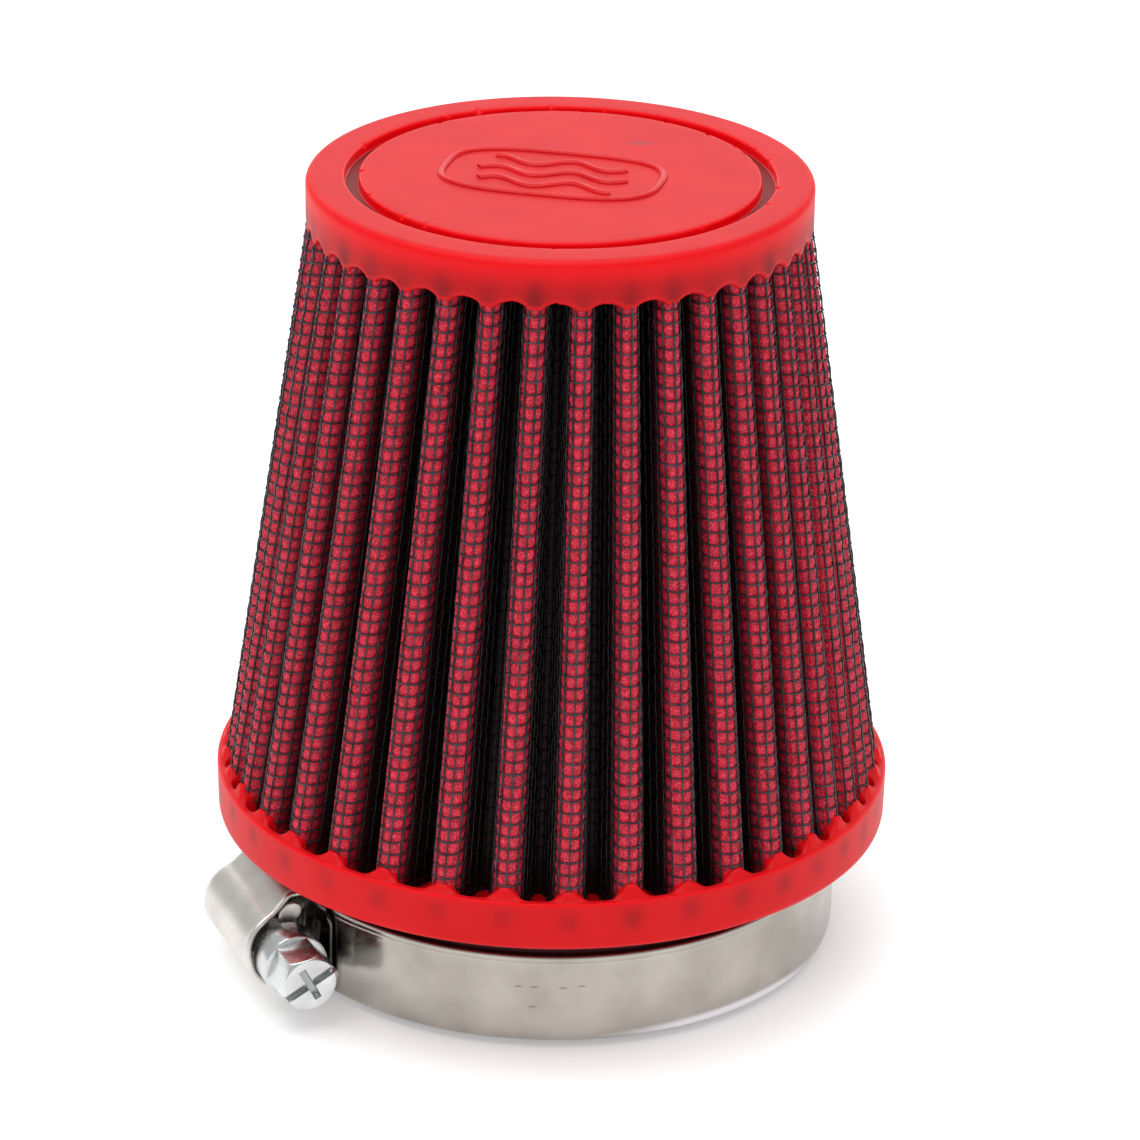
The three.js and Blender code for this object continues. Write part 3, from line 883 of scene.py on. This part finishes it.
def make_emblem():
    """A plain raised badge with three air-flow waves, moulded on the cap's top."""
    half_length = 13.6
    half_height = 8.0
    turn = np.linspace(0, 2 * math.pi, 120, endpoint=False)
    squareness = 2 / 3.2
    border = np.stack([
        half_length * signed_power(np.cos(turn), squareness),
        half_height * signed_power(np.sin(turn), squareness),
    ], axis=-1)
    routes = [(border, True, 1.0)]
    for row in (-1, 0, 1):
        x = np.linspace(-9.4 + 0.9 * abs(row), 9.4 - 0.9 * abs(row), 60)
        y = 3.9 * row + 1.15 * np.sin(x * 2 * math.pi / 9.5 + 0.5 * row)
        routes.append((np.stack([x, y], axis=-1), False, 1.35))
    points = np.zeros((0, 3))
    faces = []
    for route, closed, line_width in routes:
        ridge, ridge_faces = relief_line(route, closed, line_width, 0.42)
        faces += [[len(points) + k for k in face] for face in ridge_faces]
        points = np.concatenate([points, ridge])
    points = turned(points, -13.6) + np.array([-1.0, 0, TOP - 0.05])
    badge = finish_mesh("cap_badge", points, faces, RED_RUBBER, "filter")
    set_attribute(badge, "wet", np.full(len(points), 0.75))


# ---- clamp
def sheet(middle, normals, thickness, holes=None):
    """A bent sheet of metal with rounded rims: points and faces. middle is a grid of points
    half way through it, and holes marks the grid's squares that are punched out."""
    rows, columns = middle.shape[:2]
    half = thickness / 2
    border = [(0, j) for j in range(columns)]
    border += [(i, columns - 1) for i in range(1, rows)]
    border += [(rows - 1, j) for j in range(columns - 2, -1, -1)]
    border += [(i, 0) for i in range(rows - 2, 0, -1)]
    rim = np.array([middle[i, j] for i, j in border])
    rim_normal = np.array([normals[i, j] for i, j in border])
    inside = np.array([
        middle[min(max(i, 1), rows - 2), min(max(j, 1), columns - 2)] for i, j in border
    ])
    outward = unit(rim - inside)
    outward = unit(outward - rim_normal * np.sum(outward * rim_normal, axis=-1, keepdims=True))
    front = (middle + normals * half).reshape(-1, 3)
    back = (middle - normals * half).reshape(-1, 3)
    blocks = [front, back]
    for turn in (math.pi / 4, math.pi / 2, 3 * math.pi / 4):
        blocks.append(rim + half * (math.cos(turn) * rim_normal + math.sin(turn) * outward))
    points = list(np.concatenate(blocks))
    if holes is None:
        holes = np.zeros((rows - 1, columns - 1), bool)
    faces = []
    total = rows * columns
    for i in range(rows - 1):
        for j in range(columns - 1):
            corners = [(i, j), (i, j + 1), (i + 1, j + 1), (i + 1, j)]
            index = [a * columns + b for a, b in corners]
            if not holes[i, j]:
                faces.append(index)
                faces.append([total + k for k in reversed(index)])
                continue
            for side, (di, dj) in enumerate(((-1, 0), (0, 1), (1, 0), (0, -1))):
                if holes[i + di, j + dj]:
                    continue
                first, second = index[side], index[(side + 1) % 4]
                start = len(points)
                points += [front[first], front[second], back[second], back[first]]
                faces.append([start, start + 1, start + 2, start + 3])
    around = len(border)
    ring_starts = [2 * total + around * k for k in range(3)]
    loops = [[i * columns + j for i, j in border]]
    loops += [[start + k for k in range(around)] for start in ring_starts]
    loops.append([total + i * columns + j for i, j in border])
    for upper, lower in zip(loops, loops[1:]):
        for k in range(around):
            following = (k + 1) % around
            faces.append([upper[following], upper[k], lower[k], lower[following]])
    return np.array(points), faces


def curved_sheet(heights, angles, radii):
    """The middle and normals of a sheet bent round the filter's axis. Heights are from the
    clamp's middle; the three inputs are grids of one shape."""
    turn = np.radians(angles)
    middle = np.stack([
        radii * np.cos(turn), radii * np.sin(turn), CLAMP_HEIGHT + heights,
    ], axis=-1)
    normals = np.stack([np.cos(turn), np.sin(turn), np.zeros_like(turn)], axis=-1)
    return middle, normals


def finish_clamp_piece(name, node, solid, material=STAMPED_STEEL, body="clamp"):
    """A clamp piece from its points and faces, turned to where the clamp stands."""
    points, faces = solid
    piece = finish_mesh(name, turned(points, CLAMP_ANGLE), faces, material, body)
    piece.data.set_sharp_from_angle(angle=math.radians(50))
    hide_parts(node)


def make_band():
    """The loop of band: its lower edge rolled inwards, and a line pressed by its upper edge."""
    edge = (BAND_TOP - BAND_BOTTOM) / 2 - BAND_THICKNESS / 2
    heights = np.concatenate([
        np.linspace(-edge, -edge + 1.1, 6), np.linspace(-3.6, 3.6, 7),
        [4.6, 4.86, 4.96, 5.04, 5.12, 5.22, edge],
    ])
    angles = np.linspace(*BAND_ARC, 200)
    height, angle = np.meshgrid(heights, angles, indexing="ij")
    rolled = -0.20 * np.clip((-edge + 1.0 - height) / 1.0, 0, 1) ** 2
    pressed = -0.09 * np.exp(-((height - 5.04) / 0.09) ** 2)
    turn = np.radians(angle)
    dents = 0.030 * np.sin(5 * turn + 0.35 * height) + 0.018 * np.sin(13 * turn - 0.5 * height + 1)
    middle, normals = curved_sheet(height, angle, BAND_MIDDLE + rolled + pressed + dents)
    tilt = np.gradient(rolled + pressed, axis=0) / np.gradient(height, axis=0)
    normals[..., 2] = -tilt
    loop = sheet(middle, unit(normals), BAND_THICKNESS)
    finish_clamp_piece("band_loop", "clamp_band", loop, BAND_STEEL)


def make_saddle():
    """The plate under the screw's housing, with a narrower round-cornered tongue in front."""
    edge = SADDLE_HALF_WIDTH - SADDLE_THICKNESS / 2
    heights = np.linspace(-edge, edge, 41)
    share = np.linspace(0, 1, 24)
    height, along = np.meshgrid(heights, share, indexing="ij")
    corner = np.clip((np.abs(height) - edge + 1.2) / 1.2, 0, 1)
    rounding = 1 - np.sqrt(1 - corner ** 2)
    back = SADDLE_ARC[0] + 0.6 + 1.4 * rounding
    front = SADDLE_ARC[1] - 5.4 * smoothstep(3.9, 5.3, np.abs(height)) - 1.2 * rounding
    radius = np.full_like(height, SADDLE_MIDDLE)
    middle, normals = curved_sheet(height, back + (front - back) * along, radius)
    finish_clamp_piece("saddle_plate", "clamp_saddle", sheet(middle, normals, SADDLE_THICKNESS))


def rounded_path(points, rounds):
    """A path with its corners cut again and again until they are round."""
    for _ in range(rounds):
        first = points[:-1] * 0.75 + points[1:] * 0.25
        second = points[:-1] * 0.25 + points[1:] * 0.75
        middle = np.stack([first, second], axis=1).reshape(-1, 2)
        points = np.concatenate([points[:1], middle, points[-1:]])
    return points


def make_housing():
    """The stamped housing: two feet, shoulders and a barrel over the worm. Its front rim is
    flared and its back end is drawn in."""
    half = HOUSING_HALF_WIDTH
    barrel = [
        (BARREL_MIDDLE * math.cos(a), SCREW_RADIUS + BARREL_MIDDLE * math.sin(a))
        for a in np.radians(np.linspace(16, 90, 11))
    ]
    foot = [(half, 37.3), (half, 38.1), (half, SHOULDER_RADIUS)]
    side = foot + [(6.45, 39.5), (5.9, 40.2), (5.3, 40.95), (4.8, 41.5)]
    one_side = np.array(side + barrel)
    other_side = one_side[::-1][1:] * np.array([-1, 1])
    path = rounded_path(np.concatenate([one_side, other_side]), 2)
    direction = unit(np.gradient(path, axis=0))
    # the path goes anticlockwise, from the top foot over the barrel, so this points outwards
    across = np.stack([direction[:, 1], -direction[:, 0]], axis=-1)
    along = np.concatenate([
        np.linspace(HOUSING_BACK, -4.6, 7), np.linspace(-3.4, 6.2, 6),
        np.linspace(6.9, HOUSING_FRONT, 9),
    ])
    on_barrel = smoothstep(39.2, 40.2, path[:, 1])[:, None]
    # the front is cut at a slant: it reaches further forward where the barrel is highest
    outward = np.clip(path[:, 1] - SHOULDER_RADIUS, 0, None)
    slant = 0.25 * outward[:, None] * smoothstep(0, HOUSING_FRONT, along)[None, :]
    flare = 0.6 * np.clip((along - 7.4) / 1.35, 0, 1) ** 2
    closing = 0.25 * np.clip((-5.9 - along) / 0.8, 0, 1) ** 2
    on_top = smoothstep(-1.5, 3.5, path[:, 0])[:, None]
    offset = flare[None, :] * on_top - closing[None, :] * on_barrel
    shape = path[:, None, :] + across[:, None, :] * offset[..., None]
    shape[..., 0] = np.clip(shape[..., 0], -half, 7.1)
    middle = np.stack([
        shape[..., 1],
        along[None, :] + slant,
        CLAMP_HEIGHT + shape[..., 0],
    ], axis=-1)
    lengthways = np.gradient(middle, axis=1)
    crossways = np.gradient(middle, axis=0)
    normals = unit(np.cross(crossways, lengthways))
    finish_clamp_piece("screw_housing", "clamp_housing", sheet(middle, normals, HOUSING_THICKNESS))


def make_housing_ear():
    """The small round-ended ear that is folded down in front of the housing's shoulder."""
    turn = np.linspace(0, 2 * math.pi, 40, endpoint=False)
    tilt = math.radians(-39)
    long_way = 1.65 * signed_power(np.cos(turn), 0.8)
    short_way = 1.25 * np.sin(turn)
    across = 39.6 + long_way * math.cos(tilt) - short_way * math.sin(tilt)
    upright = CLAMP_HEIGHT + 4.8 + long_way * math.sin(tilt) + short_way * math.cos(tilt)
    ear = prism(list(zip(across, upright)), 8.8, 9.5)
    bevel_edges(ear, 0.2, 3, 50)
    finish_clamp_piece("screw_housing_ear", "clamp_housing", evaluated_points(ear))
    bpy.data.objects.remove(ear)


def make_tail():
    """The band's slotted end. The slots lean by the angle of the screw's thread."""
    edge = (BAND_TOP - BAND_BOTTOM) / 2 - TAIL_THICKNESS / 2
    lean = math.degrees(THREAD_LEAD / (2 * math.pi * THREAD_RADIUS) / TAIL_MIDDLE)
    pitch = math.degrees(THREAD_LEAD / TAIL_MIDDLE)
    slot = math.degrees(SLOT_HALF_WIDTH / TAIL_MIDDLE)
    stations = [TAIL_ARC[0] + 0.5, TAIL_ARC[0] + 1.2]
    for number in range(-5, 4):
        stations += [number * pitch - slot, number * pitch + slot]
    stations += [17.4, 18.3, 19.0, TAIL_ARC[1] - 0.45]
    stations = np.array(stations)
    leaning = np.clip(np.minimum(stations - stations[0], stations[-1] - stations) / 2.0, 0, 1)
    heights = np.array([-edge, -5.5, -5.2, -4.8, -4.2, -SLOT_HALF_LENGTH, -1.8, 0])
    heights = np.concatenate([heights, -heights[-2::-1]])
    height, station = np.meshgrid(heights, stations, indexing="ij")
    corner = np.clip((np.abs(height) - 3.6) / (edge - 3.6), 0, 1)
    near_end = np.clip((station - 17.0) / 2.4, 0, 1)
    angle = station + lean * height * leaning[None, :] - 2.2 * corner ** 2.2 * near_end
    middle, normals = curved_sheet(height, angle, np.full_like(height, TAIL_MIDDLE))
    holes = np.zeros((len(heights) - 1, len(stations) - 1), bool)
    in_slot = np.abs((heights[:-1] + heights[1:]) / 2) < SLOT_HALF_LENGTH
    for number in range(9):
        holes[in_slot, 2 + 2 * number] = True
    strip = sheet(middle, normals, TAIL_THICKNESS, holes)
    finish_clamp_piece(
        "slotted_band_end", "clamp_band_tail", strip, BAND_STEEL, "band_tail")


def build_solid(points, faces):
    """A temporary object for cutting."""
    mesh = mesh_from_mm("blank", points, faces)
    make_normals_point_out(mesh)
    return add_object("blank", mesh)


def prism(outline, low, high):
    """A solid along +Y from an outline in x and z."""
    count = len(outline)
    points = [(x, low, z) for x, z in outline] + [(x, high, z) for x, z in outline]
    faces = [[k, (k + 1) % count, count + (k + 1) % count, count + k] for k in range(count)]
    faces += [list(reversed(range(count))), [count + k for k in range(count)]]
    return build_solid(points, faces)


def make_normals_point_out(mesh):
    shape = bmesh.new()
    shape.from_mesh(mesh)
    bmesh.ops.recalc_face_normals(shape, faces=shape.faces)
    shape.to_mesh(mesh)
    shape.free()


def bevel_edges(solid, width_mm, segments, degrees):
    """Rounds the edges that are sharper than an angle."""
    bevel = solid.modifiers.new("edges", "BEVEL")
    bevel.width = width_mm * MM
    bevel.segments = segments
    bevel.limit_method = "ANGLE"
    bevel.angle_limit = math.radians(degrees)


def cut(solid, tool, operation):
    modifier = solid.modifiers.new("cut", "BOOLEAN")
    modifier.operation = operation
    modifier.solver = "EXACT"
    modifier.object = tool


def evaluated_points(solid):
    """A solid's points and faces once its modifiers have worked."""
    bpy.context.view_layer.update()
    depsgraph = bpy.context.evaluated_depsgraph_get()
    mesh = bpy.data.meshes.new_from_object(solid.evaluated_get(depsgraph))
    points = np.array([vertex.co[:] for vertex in mesh.vertices]) / MM
    faces = [list(polygon.vertices) for polygon in mesh.polygons]
    bpy.data.meshes.remove(mesh)
    return points, faces


def box_outline(length, width, degrees):
    turn = math.radians(degrees)
    corners = [(-length, -width), (length, -width), (length, width), (-length, width)]
    across = math.cos(turn) / 2
    upright = math.sin(turn) / 2
    return [(x * across - z * upright, x * upright + z * across) for x, z in corners]


def round_outline(radius, corners, first=0):
    """Corners evenly round a circle, the first at an angle."""
    turn = np.radians(first + np.arange(corners) * 360 / corners)
    return [(radius * math.cos(a), radius * math.sin(a)) for a in turn]


def hex_head():
    """The screw's hex head, chamfered, with a full slot and a short cross slot."""
    head = prism(round_outline(HEX_CORNER_RADIUS, 6, HEX_TURN), HEX_START - 0.6, HEX_END)
    rows = [(HEX_START - 1, 6.0), (HEX_END - 0.95, 4.5)]
    rows += [(HEX_END, HEX_FACE_RADIUS), (HEX_END + 0.02, HEX_FACE_RADIUS - 0.02)]
    count = 64
    points = [(x, y, z) for y, radius in rows for x, z in round_outline(radius, count)]
    faces = grid_faces(len(rows), count, wrap_columns=True)
    faces += [list(range(count)), [(len(rows) - 1) * count + k for k in reversed(range(count))]]
    cone = build_solid(points, faces)
    above = HEX_END + 1
    full_slot = prism(box_outline(12, 1.05, SLOT_TURN), HEX_END - SLOT_DEPTH, above)
    cross_slot = prism(box_outline(4.7, 0.9, SLOT_TURN + 90), HEX_END - CROSS_SLOT_DEPTH, above)
    cut(head, cone, "INTERSECT")
    cut(head, full_slot, "DIFFERENCE")
    cut(head, cross_slot, "DIFFERENCE")
    bevel_edges(head, 0.09, 2, 28)
    made = evaluated_points(head)
    for blank in (head, cone, full_slot, cross_slot):
        bpy.data.objects.remove(blank)
    return made


def make_screw():
    """The worm, its collar and its hex head, as one piece."""
    sides = 48
    half_thread = 2 * THREAD_LEAD
    turn = np.linspace(0, 2 * math.pi, sides, endpoint=False)
    rows = []
    for along in np.linspace(-half_thread, half_thread, 4 * 18 + 1):
        phase = along / THREAD_LEAD - turn / (2 * math.pi)
        off_crest = 2 * np.abs(phase - np.round(phase))
        ridge = smoothstep(0.0, 1.0, (0.50 - off_crest) / 0.26)
        fade = min(max((half_thread - abs(along)) / (THREAD_LEAD / 2), 0), 1)
        rows.append((along, THREAD_ROOT + (THREAD_RADIUS - THREAD_ROOT) * ridge * fade))
    rows.insert(0, (-half_thread, 0.02 + 0 * turn))
    for along, radius in (
        (COLLAR_START, THREAD_ROOT), (COLLAR_START, COLLAR_RADIUS - 0.3),
        (COLLAR_START + 0.1, COLLAR_RADIUS - 0.06), (COLLAR_START + 0.3, COLLAR_RADIUS),
        (COLLAR_START + 2.2, COLLAR_RADIUS), (HEX_START - 0.4, COLLAR_RADIUS),
        (HEX_START - 0.15, COLLAR_RADIUS - 0.08), (HEX_START, COLLAR_RADIUS - 0.3),
        (HEX_START + 0.02, 3.2), (HEX_START + 0.02, 0.02),
    ):
        rows.append((along, radius + 0 * turn))
    points = np.concatenate([
        np.stack([-radius * np.cos(turn), along + 0 * turn, radius * np.sin(turn)], axis=-1)
        for along, radius in rows
    ])
    faces = grid_faces(len(rows), sides, wrap_columns=True)
    head_points, head_faces = hex_head()
    faces += [[len(points) + k for k in face] for face in head_faces]
    points = np.concatenate([points, head_points])
    along = points[:, 1]
    points = points + np.array([SCREW_RADIUS, 0, CLAMP_HEIGHT])
    piece = finish_mesh(
        "worm_screw", turned(points, CLAMP_ANGLE), faces, ZINC_STEEL, "screw")
    make_normals_point_out(piece.data)
    piece.data.set_sharp_from_angle(angle=math.radians(35))
    faces_along = [along[list(face.vertices)] for face in piece.data.polygons]
    lowest = HEX_END - CROSS_SLOT_DEPTH - 0.2
    highest = HEX_END - SLOT_DEPTH + 0.2
    slot_floor = [lowest < min(y) and max(y) < highest for y in faces_along]
    set_attribute(piece, "slot_darkening", slot_floor, "FACE")
    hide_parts("clamp_screw")


make_camera()
make_stage()
make_gauze()
make_screen()
make_flange()
make_cap()
make_emblem()
make_band()
make_saddle()
make_housing()
make_housing_ear()
make_tail()
make_screw()
# the inner layers and their seam keep their CAD shapes
for node, material in (
    ("gauze_layer_2", RED_GAUZE), ("gauze_layer_3", RED_GAUZE),
    ("inner_mesh", INNER_SCREEN), ("seam_strip", STAMPED_STEEL),
):
    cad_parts[node].data.materials.clear()
    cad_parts[node].data.materials.append(material)
